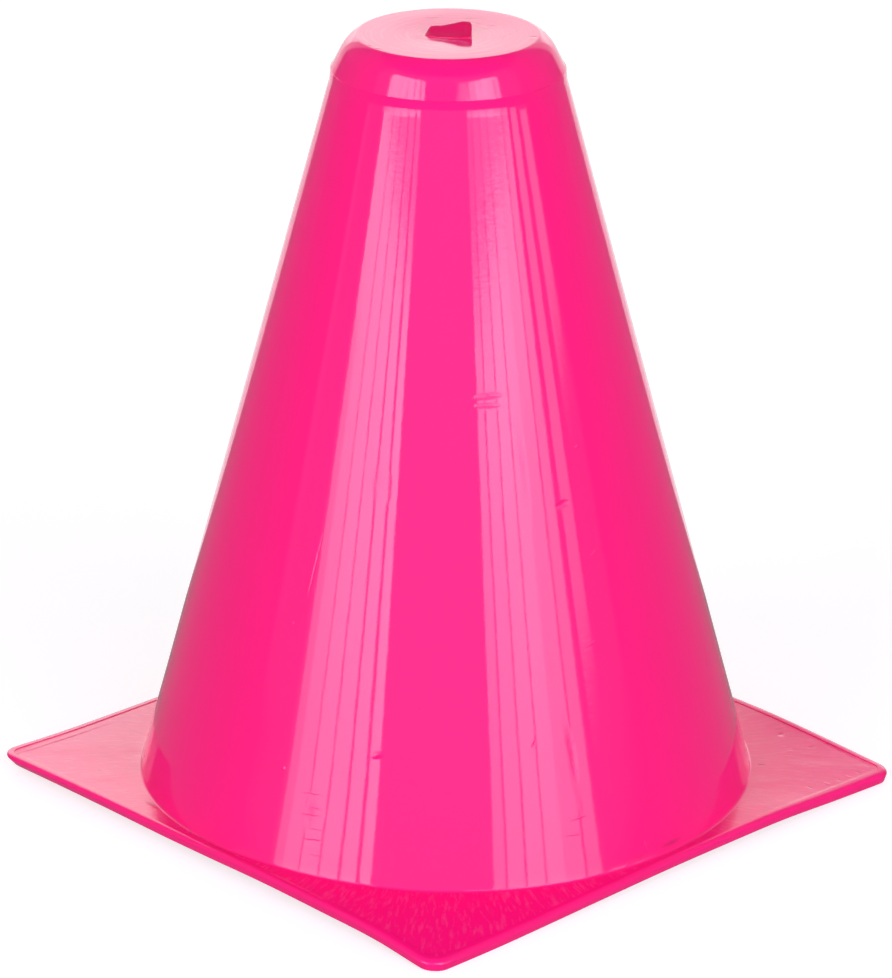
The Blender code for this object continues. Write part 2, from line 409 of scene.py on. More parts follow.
@dataclass
class ConeShell:
    """The moulding: plate, flank, collar, shoulder and crown over a hollow of even wall."""

    # Overall sizes and the plate, with its rolled edge and the bead inside it
    height: float = 179.1 * MM
    plate_side: float = 149.0 * MM
    plate_thickness: float = 2.5 * MM
    corner_radius: float = 4.8 * MM
    edge_draft: float = 0.4 * MM
    underside_round: float = 0.3 * MM
    bead_width: float = 2.3 * MM
    bead_height: float = 0.18 * MM
    bead_slope: float = 0.2 * MM
    roll_width: float = 1.5 * MM
    roll_drop: float = 1.0 * MM

    # Foot of the flank, and the wall
    foot_margin: float = 3.3 * MM
    foot_fillet: float = 0.7 * MM
    wall: float = 1.5 * MM

    # Parting line, with the steeper band below it and the fine ledge on it
    parting_radius: float = 26.25 * MM
    parting_band: float = 2.5 * MM
    parting_band_draft: float = 0.25 * MM
    parting_ledge: float = 0.1 * MM

    # Collar, a straight cone, then shoulder and rim, two arcs that run on smoothly, and the
    # crown's shallow dish
    collar_rise: float = 4.0 * MM
    collar_draft: float = math.radians(27)
    shoulder_radius: float = 9.0 * MM
    rim_draft: float = math.radians(59)
    rim_radius: float = 1.2 * MM
    dish_depth: float = 0.4 * MM

    # The moulding cooled unevenly, so that it stands on its corners. In millimetres, how high nine
    # places along each side are above the floor, at +X, +Y, -X and -Y and counter-clockwise
    side_lifts: tuple[tuple[float, ...], ...] = (
        (0.1, 1.2, 2.2, 2.4, 2.4, 2.0, 1.5, 0.9, 0.4),
        (0.4, 0.65, 0.9, 1.05, 1.15, 1.15, 1.05, 1.1, 1.7),
        (1.7, 2.05, 2.3, 2.4, 2.5, 2.7, 2.4, 1.9, 0.0),
        (0.0, 0.0, 0.45, 1.0, 1.45, 1.6, 1.55, 0.7, 0.1),
    )

    # How high the foot of the flank and the body stand on that plate, the power with which the
    # bend of its sides grows from the axis, and the height at which the body's lift is whole
    foot_lift: float = 1.4 * MM
    body_lift: float = 1.0 * MM
    lift_focus: int = 6
    lift_fade: float = 30.0 * MM

    # How much further the underside is drawn in at the corner between +Y and -X, and how far
    # from that corner this ends
    worn_corner: float = 1.8 * MM
    worn_reach: float = 60.0 * MM

    # How finely the skin is divided: stations along a side and round a corner of the plate, the
    # space between rings on the flank and on the crown, and the rings on each small form
    side_stations: int = 67
    corner_stations: int = 12
    ring_pitch: float = 1.5 * MM
    dish_pitch: float = 1.0 * MM
    hollow_rings: int = 10
    underside_rings: int = 4
    edge_rings: int = 3
    roll_rings: int = 12
    bead_rings: int = 8
    land_rings: int = 12
    fillet_rings: int = 8
    band_rings: int = 4
    collar_rings: int = 8
    shoulder_rings: int = 12
    rim_rings: int = 8

    # The angle between faces from which an edge looks sharp
    sharp_angle: float = math.radians(35)

    def __post_init__(self) -> None:
        """Work out the places that follow from the sizes."""
        self.foot_radius = self.plate_side / 2 - self.foot_margin
        rim_z = self.height - self.rim_radius
        shoulder_z = rim_z - (self.shoulder_radius - self.rim_radius) * math.sin(self.rim_draft)
        collar_top_z = shoulder_z + self.shoulder_radius * math.sin(self.collar_draft)
        self.parting_z = collar_top_z - self.collar_rise
        self.collar_foot = self.parting_radius - self.parting_ledge
        collar_top = self.collar_foot - self.collar_rise * math.tan(self.collar_draft)
        shoulder_x = collar_top - self.shoulder_radius * math.cos(self.collar_draft)
        rim_x = shoulder_x + (self.shoulder_radius - self.rim_radius) * math.cos(self.rim_draft)
        self.shoulder_centre = (shoulder_x, shoulder_z)
        self.rim_centre = (rim_x, rim_z)
        band_foot = self.parting_radius + self.parting_band_draft
        self.flank_top = (band_foot, self.parting_z - self.parting_band)
        rise = self.flank_top[1] - self.plate_thickness
        self.flank_slope = (self.foot_radius - self.flank_top[0]) / rise
        self.flank_angle = math.atan(self.flank_slope)
        self.stations = 4 * (self.side_stations + self.corner_stations)
        self.rings: list[np.ndarray] = []
        self.zones: list[Zone] = []

    def circle(self, radius: float, z: float) -> np.ndarray:
        """Place the stations round a circle.

        Args:
            radius: The circle's radius.
            z: Its height.

        Returns:
            One row per station.
        """
        turns = (np.arange(self.stations) + 0.5) * 2 * math.pi / self.stations - math.pi / 4
        level = np.full(self.stations, z)
        return np.stack([radius * np.cos(turns), radius * np.sin(turns), level], axis=1)

    def square(self, inset: float, z: float) -> np.ndarray:
        """Place the stations round the plate's outline, drawn in by an inset.

        Args:
            inset: How far inside the plate's edge the outline lies.
            z: Its height.

        Returns:
            One row per station.
        """
        radius = max(self.corner_radius - inset, 0.0)
        reach = self.plate_side / 2 - self.corner_radius
        half = self.plate_side / 2 - inset
        points = []
        for quarter in range(4):
            turn = quarter * math.pi / 2
            places = (np.arange(self.side_stations) + 0.5) / self.side_stations * 2 - 1
            local = [(half, place * reach) for place in places]
            for step in range(self.corner_stations):
                bend = (step + 0.5) / self.corner_stations * math.pi / 2
                local.append((reach + radius * math.cos(bend), reach + radius * math.sin(bend)))
            cos, sin = math.cos(turn), math.sin(turn)
            points += [(x * cos - y * sin, x * sin + y * cos, z) for x, y in local]
        return np.roll(np.array(points), self.corner_stations // 2, axis=0)

    def add(self, ring: np.ndarray, zone: Zone) -> None:
        """Append a ring, and say whose skin the band below it is."""
        self.rings.append(ring)
        self.zones.append(zone)

    def turn(self, profile: Profile, zone: Zone) -> None:
        """Lay a round ring at each radius and height of a profile."""
        for radius, z in profile:
            self.add(self.circle(radius, z), zone)

    def spread(self, goal: np.ndarray, count: int) -> None:
        """Lay rings of the plate's faces from the last ring on, in equal steps.

        Args:
            goal: The ring that they end at.
            count: How many there are.
        """
        start = self.rings[-1]
        for share in shares(count):
            self.add(start + (goal - start) * share, Zone.PLATE)

    def inside(self) -> None:
        """Lay the rings of the hollow, from its ceiling down to its mouth in the underside."""
        ceiling = self.height - self.wall
        curve = self.shoulder_radius - self.wall
        corner = math.asin((ceiling - self.shoulder_centre[1]) / curve)
        shoulder = arc(self.shoulder_centre, curve, corner, self.collar_draft, self.hollow_rings)
        collar_foot = (
            self.collar_foot - self.wall * math.cos(self.collar_draft),
            self.parting_z - self.wall * math.sin(self.collar_draft),
        )
        top_x = self.flank_top[0] - self.wall * math.cos(self.flank_angle)
        top_z = self.flank_top[1] - self.wall * math.sin(self.flank_angle)
        profile = [*self.dish(shoulder[0][0], ceiling)[::-1], *shoulder, collar_foot]
        for share in (0.0, *shares(round(top_z / (2 * self.ring_pitch)))):
            z = top_z * (1 - share)
            profile.append((top_x + self.flank_slope * (top_z - z), z))
        self.turn(profile, Zone.INSIDE)

    def dish(self, radius: float, rim_z: float) -> Profile:
        """List the places of the crown's shallow dish, from just inside its rim inwards.

        Args:
            radius: The dish's radius.
            rim_z: The height of its rim.

        Returns:
            Radius and height of each ring.
        """
        places = []
        for gone in shares(round(radius / self.dish_pitch))[:-1]:
            share = 1 - gone
            sag = self.dish_depth * (1 + math.cos(math.pi * share)) / 2
            places.append((radius * share, rim_z - sag))
        return places

    def plate(self) -> None:
        """Lay the rings of the plate: underside, rolled edge, bead and the land round the foot."""
        self.spread(self.square(self.bead_width, 0.0), self.underside_rings)
        foot = self.underside_round
        bottom = self.edge_draft + foot
        widest = self.plate_thickness + self.bead_height - self.roll_drop
        profile = [(bottom, 0.0)]
        profile += arc((bottom, foot), foot, -math.pi / 2, -math.pi, self.underside_rings)[1:]
        for share in shares(self.edge_rings):
            profile.append((self.edge_draft * (1 - share), foot + (widest - foot) * share))
        for share in shares(self.roll_rings):
            turn = math.pi / 2 * share
            inset = self.roll_width * (1 - math.cos(turn))
            profile.append((inset, widest + self.roll_drop * math.sin(turn)))
        for share in shares(self.bead_rings):
            inset = self.bead_width - self.bead_slope * (1 - share)
            ease = (1 + math.cos(math.pi * share)) / 2
            profile.append((inset, self.plate_thickness + self.bead_height * ease))
        for inset, z in profile:
            self.add(self.square(inset, z), Zone.EDGE)
        fillet_x = self.foot_radius + self.fillet_reach()
        self.spread(self.circle(fillet_x, self.plate_thickness), self.land_rings)

    def fillet_reach(self) -> float:
        """Give how far outside the flank's foot its fillet starts."""
        return self.foot_fillet * (1 / math.cos(self.flank_angle) - self.flank_slope)

    def outside(self) -> None:
        """Lay the rings of the fillet, flank, parting line, collar, shoulder, rim and crown."""
        centre = (self.foot_radius + self.fillet_reach(), self.plate_thickness + self.foot_fillet)
        start, end = -math.pi / 2, self.flank_angle - math.pi
        flank = arc(centre, self.foot_fillet, start, end, self.fillet_rings)[1:]
        foot_z = flank[-1][1]
        top_x, top_z = self.flank_top
        for share in shares(round((top_z - foot_z) / self.ring_pitch)):
            z = foot_z + (top_z - foot_z) * share
            flank.append((self.foot_radius - self.flank_slope * (z - self.plate_thickness), z))
        for share in shares(self.band_rings):
            radius = top_x - self.parting_band_draft * share
            flank.append((radius, top_z + self.parting_band * share))
        self.turn(flank, Zone.FLANK)
        start, end = self.collar_draft, self.rim_draft
        shoulder = arc(self.shoulder_centre, self.shoulder_radius, start, end, self.shoulder_rings)
        rim = arc(self.rim_centre, self.rim_radius, self.rim_draft, math.pi / 2, self.rim_rings)
        collar = []
        for share in (0.0, *shares(self.collar_rings)[:-1]):
            radius = self.collar_foot + (shoulder[0][0] - self.collar_foot) * share
            collar.append((radius, self.parting_z + self.collar_rise * share))
        self.turn(collar + shoulder + rim[1:], Zone.COLLAR)
        self.turn(self.dish(self.rim_centre[0], self.height), Zone.CROWN)

    def edge_lift(self, quarter: int, along: np.ndarray) -> np.ndarray:
        """Give the height of one side of the plate above the floor.

        Args:
            quarter: The side, counted counter-clockwise from +X.
            along: Places along it, from -1 at its first corner to 1 at its last.

        Returns:
            The heights in metres.
        """
        lifts = self.side_lifts[quarter]
        knots = np.array([lifts[0], *lifts, lifts[-1]]) * MM
        spans = len(lifts) - 1
        place = np.clip((along + 1) / 2 * spans, 0, spans - TINY)
        span = place.astype(int)
        return catmull_rom([knots[span + step] for step in range(4)], place - span)

    def settled(self, points: np.ndarray) -> np.ndarray:
        """Bend the even moulding to the shape that it cooled to.

        Args:
            points: One row per point of the even moulding.

        Returns:
            The same points, with the sides of the plate arched up between its corners.
        """
        x, y, z = points.T
        half = self.plate_side / 2
        reach = np.maximum(np.maximum(np.abs(x), np.abs(y)), TINY)
        edge = np.zeros(len(points))
        for quarter in range(4):
            turn = quarter * math.pi / 2
            out = x * math.cos(turn) + y * math.sin(turn)
            side = y * math.cos(turn) - x * math.sin(turn)
            here = out >= reach - TINY
            edge[here] = self.edge_lift(quarter, side[here] / reach[here])
        share = np.clip(reach / half, 0, 1) ** self.lift_focus
        plate = self.foot_lift + (edge - self.foot_lift) * share
        fade = np.clip(z / self.lift_fade, 0, 1)
        fade = fade * fade * (3 - 2 * fade)
        result = points.copy()
        result[:, 2] += plate + (self.body_lift - plate) * fade
        corner = np.clip(1 - np.hypot(x + half, y - half) / self.worn_reach, 0, 1)
        low = np.clip(1 - z / self.plate_thickness, 0, 1)
        inset = self.worn_corner * corner * low / math.sqrt(2)
        result[:, 0] += inset
        result[:, 1] -= inset
        return result

    def build(self) -> bpy.types.Object:
        """Build the shell as one closed mesh.

        Returns:
            The shell.
        """
        self.inside()
        self.plate()
        self.outside()
        steps = [np.abs(after - before).max() for before, after in zip(self.rings, self.rings[1:])]
        kept = [0, *(i for i, step in enumerate(steps, 1) if step > TINY)]
        rings = [self.rings[i] for i in kept]
        count = self.stations
        pole = len(rings) * count
        last = pole - count
        points = self.settled(np.concatenate(rings)).tolist()
        for end in (rings[0], rings[-1]):
            points.append((0.0, 0.0, float(end[0, 2]) + self.body_lift))
        follow = [(i + 1) % count for i in range(count)]
        faces: list[tuple[int, ...]] = []
        owners: list[int] = []
        for row, ring in enumerate(kept[1:]):
            low, high = row * count, (row + 1) * count
            faces += [(low + i, low + follow[i], high + follow[i], high + i) for i in range(count)]
            owners += [self.zones[ring].value] * count
        faces += [(pole, follow[i], i) for i in range(count)]
        faces += [(last + i, last + follow[i], pole + 1) for i in range(count)]
        owners += [Zone.INSIDE.value] * count + [Zone.CROWN.value] * count
        shell = add_object("moulded_cone", points, faces)
        shell.data.polygons.foreach_set("material_index", owners)
        shell.data.shade_smooth()
        shell.data.set_sharp_from_angle(angle=self.sharp_angle)
        return shell

    def steep_place(self, azimuth: float, z: float) -> Matrix:
        """Give the frame of a place on the flank: X round to the right, Y up the slope, Z out.

        Args:
            azimuth: Degrees from the camera's azimuth, positive to its right.
            z: Height in millimetres.

        Returns:
            The frame as a matrix.
        """
        out = facing(math.radians(azimuth))
        radius = self.foot_radius - self.flank_slope * (z * MM - self.plate_thickness)
        right = facing(math.radians(azimuth + 90))
        normal = (out + Vector((0, 0, self.flank_slope))).normalized()
        up = normal.cross(right)
        frame_at = Matrix((right, up, normal)).transposed().to_4x4()
        frame_at.translation = out * radius + Vector((0, 0, z * MM + self.body_lift))
        return frame_at

    def flat_place(self, right: float, front: float, z: float) -> Matrix:
        """Give the frame of a place on the plate or the crown: X to the right, Z up.

        Args:
            right: Millimetres to the camera's right.
            front: Millimetres towards the camera.
            z: Height in metres.

        Returns:
            The frame as a matrix.
        """
        x_axis, back = facing(math.pi / 2), -facing(0.0)
        frame_at = Matrix((x_axis, back, Vector((0, 0, 1)))).transposed().to_4x4()
        frame_at.translation = (x_axis * right - back * front) * MM + Vector((0, 0, z))
        return frame_at

    def finish(self, zone: Zone) -> MouldedPolyethylene:
        """Choose the finish of a zone of the skin.

        Real tool marks are a tenth to half a millimetre apart. The finest lines here are 0.6 to
        1 mm apart, as coarse as they need to be to show.

        Args:
            zone: The zone.

        Returns:
            Its finish.
        """
        name = f"moulded_polyethylene_{zone.name.lower()}"
        if zone is Zone.FLANK:
            # Steel turned at a fine feed, then polished, so that reflections fray sideways a little
            lines = (ToolLines(3.0, 0.6, 0.0100, True), ToolLines(3.0, 9.0, 0.0060, True))
            marks = tuple((self.steep_place(*mark.place), mark) for mark in FLANK_MARKS)
            return MouldedPolyethylene(name, lines, marks)
        if zone is Zone.COLLAR:
            # Polished by hand, along the slope
            lines = (ToolLines(0.9, 3.0, 0.0025, True, 24.0),)
            return MouldedPolyethylene(name, lines, roughness=0.08)
        if zone is Zone.CROWN:
            # Faced on the lathe, so the reflections swirl round the stub
            feed = ToolLines(9.0, 0.8, 0.0060, False, 12.0)
            lines = (feed, ToolLines(3.0, 3.0, 0.0060, False, 12.0))
            level = self.height + self.body_lift
            marks = tuple((self.flat_place(*mark.place, level), mark) for mark in CROWN_MARKS)
            return MouldedPolyethylene(name, lines, marks, film=0.08, roughness=0.08)
        if zone is Zone.PLATE:
            # Rubbed with coarse stones away from the foot, then scuffed in use
            strokes = ToolLines(1.0, 4.5, 0.0140, False, 85.0, 5.0)
            lines = (strokes, ToolLines(5.0, 7.0, 0.0600, False, 85.0))
            level = self.plate_thickness + self.foot_lift
            marks = tuple((self.flat_place(*mark.place, level), mark) for mark in PLATE_MARKS)
            return MouldedPolyethylene(name, lines, marks, film=0.12, roughness=0.14)
        if zone is Zone.EDGE:
            # The gap between the mould's halves left the edge a little wavy
            lines = (ToolLines(5.0, 5.0, 0.0150, False, 90.0),)
            return MouldedPolyethylene(name, lines, roughness=0.12)
        # The core that formed the hollow was left as it was turned, so the inside is duller
        return MouldedPolyethylene(name, (ToolLines(6.0, 0.8, 0.0030, True),), roughness=0.22)

    def dress(self, shell: bpy.types.Object) -> None:
        """Give each zone of the skin its finish."""
        for zone in Zone:
            shell.data.materials.append(self.finish(zone).build())


# Dents, scratches and specks of the flank, from its top to its foot
FLANK_MARKS = (
    Mark((12.0, 108.8), (7.0, 1.7), 2.0, -0.070),
    Mark((11.9, 106.8), (6.6, 1.4), -2.0, -0.055),
    Mark((38.4, 95.0), (1.2, 0.9), 0.0, 0.075),
    Mark((-18.0, 89.0), (7.0, 9.0), 0.0, -0.025, 0.0, 0.05),
    Mark((31.0, 83.6), (4.0, 2.0), 12.0, -0.16),
    Mark((20.9, 93.0), (2.6, 30.0), 2.0, -0.03, 0.0, 0.16),
    Mark((26.0, 28.0), (2.2, 24.0), 4.0, -0.03, 0.0, 0.20),
    Mark((-26.3, 17.0), (3.6, 10.0), -4.0, -0.03, 0.0, 0.22),
    Mark((38.5, 71.7), (2.6, 0.6), 24.0, 0.09),
    Mark((-33.0, 70.0), (0.5, 16.0), -6.0, -0.036),
    Mark((-37.0, 56.3), (1.0, 1.0), 0.0, 0.075),
    Mark((34.0, 52.6), (3.4, 0.6), 18.0, 0.09),
    Mark((-5.3, 42.0), (0.8, 0.8), 0.0, -0.06, 0.5),
    Mark((18.0, 33.5), (2.4, 0.6), 50.0, -0.06),
    Mark((-13.6, 31.6), (3.4, 1.8), 20.0, 0.135),
    Mark((26.3, 30.0), (2.2, 14.0), 4.0, -0.09, 0.0, 0.06),
    Mark((-33.7, 25.0), (1.2, 1.2), 0.0, 0.09),
    Mark((-26.5, 21.0), (4.6, 0.3), 2.0, -0.06),
    Mark((-25.6, 18.2), (3.4, 0.3), -3.0, 0.048),
    Mark((-26.2, 16.4), (5.2, 0.3), 3.0, -0.06),
    Mark((-24.8, 13.6), (3.8, 0.3), 0.0, 0.054),
    Mark((-25.2, 11.2), (5.0, 0.4), 4.0, -0.066),
    Mark((-24.0, 8.0), (3.4, 0.3), -2.0, 0.048),
    Mark((26.0, 16.0), (4.4, 0.4), 6.0, 0.054),
    Mark((25.0, 12.5), (5.4, 0.3), -3.0, -0.06),
    Mark((46.0, 4.6), (9.0, 1.6), 0.0, 0.0, 0.45, 0.10),
    Mark((38.0, 4.2), (6.0, 1.0), 0.0, 0.0, 0.30, 0.08),
    Mark((40.0, 6.0), (1.0, 3.4), 12.0, 0.09, 0.0, 0.10),
)

# Marks round the stub and at the crown's rim
CROWN_MARKS = (
    Mark((6.8, -8.4), (2.8, 0.5), 0.0, 0.060),
    Mark((9.6, -6.6), (3.4, 0.5), -10.0, -0.080),
    Mark((8.4, -4.3), (2.8, 0.4), -8.0, -0.060),
    Mark((13.6, 0.4), (1.0, 0.8), 0.0, -0.060),
    Mark((11.2, 2.9), (0.9, 0.7), 0.0, -0.050),
    Mark((12.5, 2.1), (0.7, 0.5), 0.0, -0.050),
    Mark((-6.6, 1.6), (5.0, 0.5), 24.0, -0.060, 0.5),
    Mark((-6.0, 3.6), (4.0, 0.4), -20.0, -0.060, 0.4),
    Mark((-3.4, -12.6), (6.0, 0.5), 6.0, -0.060, 0.5),
    Mark((5.0, -12.0), (7.0, 0.5), -10.0, -0.060, 0.4),
    Mark((-17.6, 10.2), (5.0, 1.2), -30.0, -0.120, 0.3),
    Mark((-15.6, 12.0), (3.0, 0.8), -30.0, 0.100),
    Mark((-2.0, -14.2), (1.6, 0.5), 0.0, -0.050),
    Mark((1.8, -14.4), (2.4, 0.5), 0.0, -0.050),
    Mark((19.0, 2.6), (2.6, 1.4), -14.0, -0.120, 0.4),
    Mark((18.0, 4.2), (2.2, 0.8), -14.0, 0.060),
)

# Marks on the plate's corners: a pit and a crack on the right, specks on the left
PLATE_MARKS = (
    Mark((88.5, 11.8), (3.2, 1.0), -34.0, 0.070),
    Mark((91.5, 9.6), (2.6, 0.9), -44.0, -0.080, 0.3),
    Mark((94.0, 7.6), (2.8, 0.9), -30.0, 0.070),
    Mark((96.5, 5.2), (2.4, 0.8), -46.0, -0.080, 0.3),
    Mark((84.5, 14.5), (3.4, 0.8), -38.0, -0.060, 0.3),
    Mark((79.0, -17.0), (2.4, 0.5), 6.0, -0.060, 0.3),
    Mark((86.0, -8.0), (4.0, 0.5), 0.0, -0.060, 0.2),
    Mark((74.0, 12.0), (14.0, 7.0), 8.0, 0.060),
    Mark((86.0, -1.0), (12.0, 6.0), -6.0, -0.060),
    Mark((-80.0, 12.0), (14.0, 7.0), 10.0, 0.060),
    Mark((-72.0, -2.0), (9.0, 5.0), 0.0, -0.060),
    Mark((-66.6, 27.6), (7.0, 2.2), -46.0, -0.080, 0.5),
    Mark((-62.9, 31.9), (6.0, 1.6), -44.0, 0.060, 0.4),
    Mark((89.0, -11.5), (62.0, 0.5), -52.0, -0.100),
    Mark((-90.0, -10.5), (40.0, 0.5), 43.0, -0.100),
    Mark((79.5, -14.3), (1.9, 1.9), 0.0, -0.120),
    Mark((73.9, 2.4), (2.6, 0.6), 0.0, -0.100, 0.8),
    Mark((81.0, -5.7), (2.2, 1.6), 0.0, 0.050),
    Mark((86.0, 2.0), (3.4, 1.0), 6.0, -0.040),
    Mark((-80.8, 8.0), (1.0, 0.8), 0.0, -0.060, 0.3),
    Mark((-76.0, 16.0), (0.9, 0.7), 0.0, -0.060, 0.3),
)


@dataclass(frozen=True)
class StubSection:
    """One section across the torn stub, in millimetres from the middle of the crown's floor.

    Each place is a distance towards the camera's side and a height above the crown.
    """

    along: float
    front: float
    lip: tuple[float, float]
    scoop: tuple[float, float]
    ridge: tuple[float, float]
    back: float

    def outline(self, root: float) -> Profile:
        """List the section's corners.

        Args:
            root: How far the stub is rooted in the crown, in millimetres.

        Returns:
            The corners in metres, from the front root over the ridge to the back root.
        """
        corners = [(self.front, 0.0), self.lip, self.scoop, self.ridge, (self.back, 0.0)]
        rooted = [(self.front, -root), *corners, (self.back, -root)]
        return [(across * MM, up * MM) for across, up in rooted]


@dataclass
class SprueStub:
    """The stub that was left when the sprue was nipped and torn off the crown."""

    sections: tuple[StubSection, ...] = (
        StubSection(-5.15, 1.2, (0.9, 0.15), (0.6, 0.25), (0.2, 0.35), -0.2),
        StubSection(-4.6, 1.5, (1.3, 0.3), (0.5, 0.5), (-0.9, 1.1), -1.3),
        StubSection(-4.0, 1.9, (1.8, 0.35), (0.4, 0.75), (-2.0, 2.0), -2.7),
        StubSection(-1.3, 2.5, (2.4, 0.35), (0.7, 0.8), (-1.9, 2.25), -2.6),
        StubSection(1.5, 3.2, (3.0, 0.45), (0.9, 1.1), (-1.8, 3.0), -2.5),
        StubSection(3.3, 3.5, (3.3, 0.55), (1.0, 1.35), (-1.7, 3.45), -2.4),
        StubSection(4.7, 3.6, (3.4, 0.65), (1.3, 2.0), (-1.6, 3.3), -2.1),
        StubSection(5.15, 3.4, (3.1, 0.6), (1.5, 1.8), (-0.6, 2.75), -1.1),
    )
    root: float = 0.8

    # Steps from one section to the next, and how often the sections' corners are cut off, and
    # at which share of each side
    steps_along: int = 9
    corner_cuts: int = 3
    cut_share: float = 0.25

    # The torn skin: how deep and how large its lumps are, and in how many sizes they come
    tear_depth: float = 0.05 * MM
    tear_size: float = 0.9 * MM
    tear_octaves: int = 4
    sharp_angle: float = math.radians(50)

    def build(self, floor_z: float) -> bpy.types.Object:
        """Loft the stub as one closed mesh.

        Args:
            floor_z: The height of the crown's floor.

        Returns:
            The stub.
        """
        loops = [np.array(section.outline(self.root)) for section in self.sections]
        places = [section.along * MM for section in self.sections]
        rows: list[np.ndarray] = []
        for row in range(len(loops) - 1):
            before, after = max(row - 1, 0), min(row + 2, len(loops) - 1)
            last = row == len(loops) - 2
            for step in range(self.steps_along + last):
                t = step / self.steps_along
                knots = [loops[i] for i in (before, row, row + 1, after)]
                along = places[row] + (places[row + 1] - places[row]) * t
                rows.append(self.ring(catmull_rom(knots, t), along, floor_z))
        return self.skin(rows)

    def ring(self, across: np.ndarray, along: float, floor_z: float) -> np.ndarray:
        """Round a section's corners and place it on the crown.

        Args:
            across: The section's corners, each across the stub and up.
            along: The section's place along the stub.
            floor_z: The height of the crown's floor.

        Returns:
            The ring's points.
        """
        for _ in range(self.corner_cuts):
            step = (across[1:] - across[:-1]) * self.cut_share
            inner = np.stack([across[:-1] + step, across[1:] - step], axis=1).reshape(-1, 2)
            across = np.concatenate([across[:1], inner[1:-1], across[-1:]])
        to_camera, to_right = facing(0.0), facing(math.pi / 2)
        points = []
        for front, up in across.tolist():
            place = to_right * along + to_camera * front
            points.append((place.x, place.y, floor_z + up))
        return np.array(points)

    def skin(self, rows: list[np.ndarray]) -> bpy.types.Object:
        """Join the rings into a closed mesh with a torn skin.

        Args:
            rows: The points of each ring.

        Returns:
            The stub.
        """
        count = len(rows[0])
        vertices = []
        for point in np.concatenate(rows).tolist():
            place = Vector(point)
            tear = noise.fractal(place / self.tear_size, 1.0, 2.0, self.tear_octaves)
            vertices.append(place + Vector((0, 0, tear * self.tear_depth)))
        faces: list[tuple[int, ...]] = []
        for low in range(0, len(vertices) - count, count):
            for i in range(count):
                j = (i + 1) % count
                faces.append((low + i, low + j, low + count + j, low + count + i))
        faces.append(tuple(range(count - 1, -1, -1)))
        faces.append(tuple(range(len(vertices) - count, len(vertices))))
        stub = add_object("torn_sprue_stub", vertices, faces)
        stub.data.shade_smooth()
        stub.data.set_sharp_from_angle(angle=self.sharp_angle)
        return stub

    def dress(self, stub: bpy.types.Object) -> None:
        """Give the stub its torn finish, with painted shade in its darker pink."""
        # Torn plastic has lost the mould's polish. Its pink is darker than the body's: painted
        # shade over the whole stub
        torn = MouldedPolyethylene("torn_polyethylene_painted_shade", colour="#DE0A5A", roughness=0.2)
        stub.data.materials.append(torn.build())


def seen_directly(tree: Tree) -> Socket:
    """Tell the rays that see the background, straight or in a reflection, from the rest.

    Args:
        tree: The node tree to work in.

    Returns:
        A socket that holds 1 for camera, glossy and transmission rays, and else 0.
    """
    path = add_node(tree, "LightPath")
    seen = path.outputs["Is Camera Ray"]
    for kind in ("Is Glossy Ray", "Is Transmission Ray"):
        either = {0: seen, 1: path.outputs[kind]}
        seen = add_node(tree, "Math", either, operation="MAXIMUM").outputs[0]
    return seen


@dataclass(frozen=True)
class MattPaper:
    """Uncoated backdrop paper, rolled smooth.

    It has no gloss, so the cone stands in its own soft shadow and isn't mirrored. The glow
    makes up for what the paper lacks to white where it is seen.
    """

    colour: str = "#BCBCBC"
    glow: float = 0.68
    roughness: float = 0.9

    def build(self) -> bpy.types.Material:
        """Make the material.

        Returns:
            The finished material.
        """
        material = bpy.data.materials.new("matt_paper")
        material.use_nodes = True
        tree = material.node_tree
        shader = tree.nodes["Principled BSDF"]
        shader.inputs["Base Color"].default_value = linear(self.colour)
        shader.inputs["Roughness"].default_value = self.roughness
        shader.inputs["Specular IOR Level"].default_value = 0.0
        shader.inputs["Emission Color"].default_value = (1, 1, 1, 1)
        shown = {0: seen_directly(tree), 1: self.glow}
        shown = add_node(tree, "Math", shown, operation="MULTIPLY").outputs[0]
        tree.links.new(shown, shader.inputs["Emission Strength"])
        return material


@dataclass(frozen=True)
class OpalPanel:
    """Opal acrylic, cast in sheets and lit from behind, which glows evenly with no hot spot.

    Its light is the radiance, where 1 is white. It may be tinted by an attribute of its faces.
    """

    name: str
    light: float = 1.0
    tint: str | None = None

    def build(self) -> bpy.types.Material:
        """Make the material.

        Returns:
            The finished material.
        """
        material = bpy.data.materials.new(self.name)
        material.use_nodes = True
        tree = material.node_tree
        tree.nodes.remove(tree.nodes["Principled BSDF"])
        emission = add_node(tree, "Emission", {"Strength": self.light})
        if self.tint:
            tint = add_node(tree, "Attribute", attribute_name=self.tint)
            tree.links.new(tint.outputs["Color"], emission.inputs["Color"])
        tree.links.new(emission.outputs[0], tree.nodes["Material Output"].inputs["Surface"])
        return material


@dataclass(frozen=True)
class Pane:
    """One pane of a window, from one azimuth to another in degrees, and its share of the light.

    Azimuths are measured from the camera's, positive to its right. The low share holds under the
    window's sill line, where trees and walls outside take some of the daylight. The bottom is
    where the pane starts, in degrees above the floor, if that is above the window's own.
    """

    start: float
    end: float
    share: float = 1.0
    low_share: float = 1.0
    bottom: float = -90.0


@dataclass(frozen=True)
class Window:
    """A tall window of panes between bars, which lights the cone from one side."""

    panes: tuple[Pane, ...]
    light: float = 1.0
    bottom: float = -2.0
    top: float = 39.0
    sill: float = 9.0

    def share(self, azimuth: float, elevation: float) -> float | None:
        """Give a direction's share of the window's light.

        Args:
            azimuth: Degrees from the camera's, positive to its right.
            elevation: Degrees above the floor.

        Returns:
            The share, or nothing beside the panes.
        """
        if not self.bottom < elevation < self.top:
            return None
        for pane in self.panes:
            if pane.start < azimuth < pane.end and elevation > pane.bottom:
                return self.light * (pane.share if elevation > self.sill else pane.low_share)
        return None


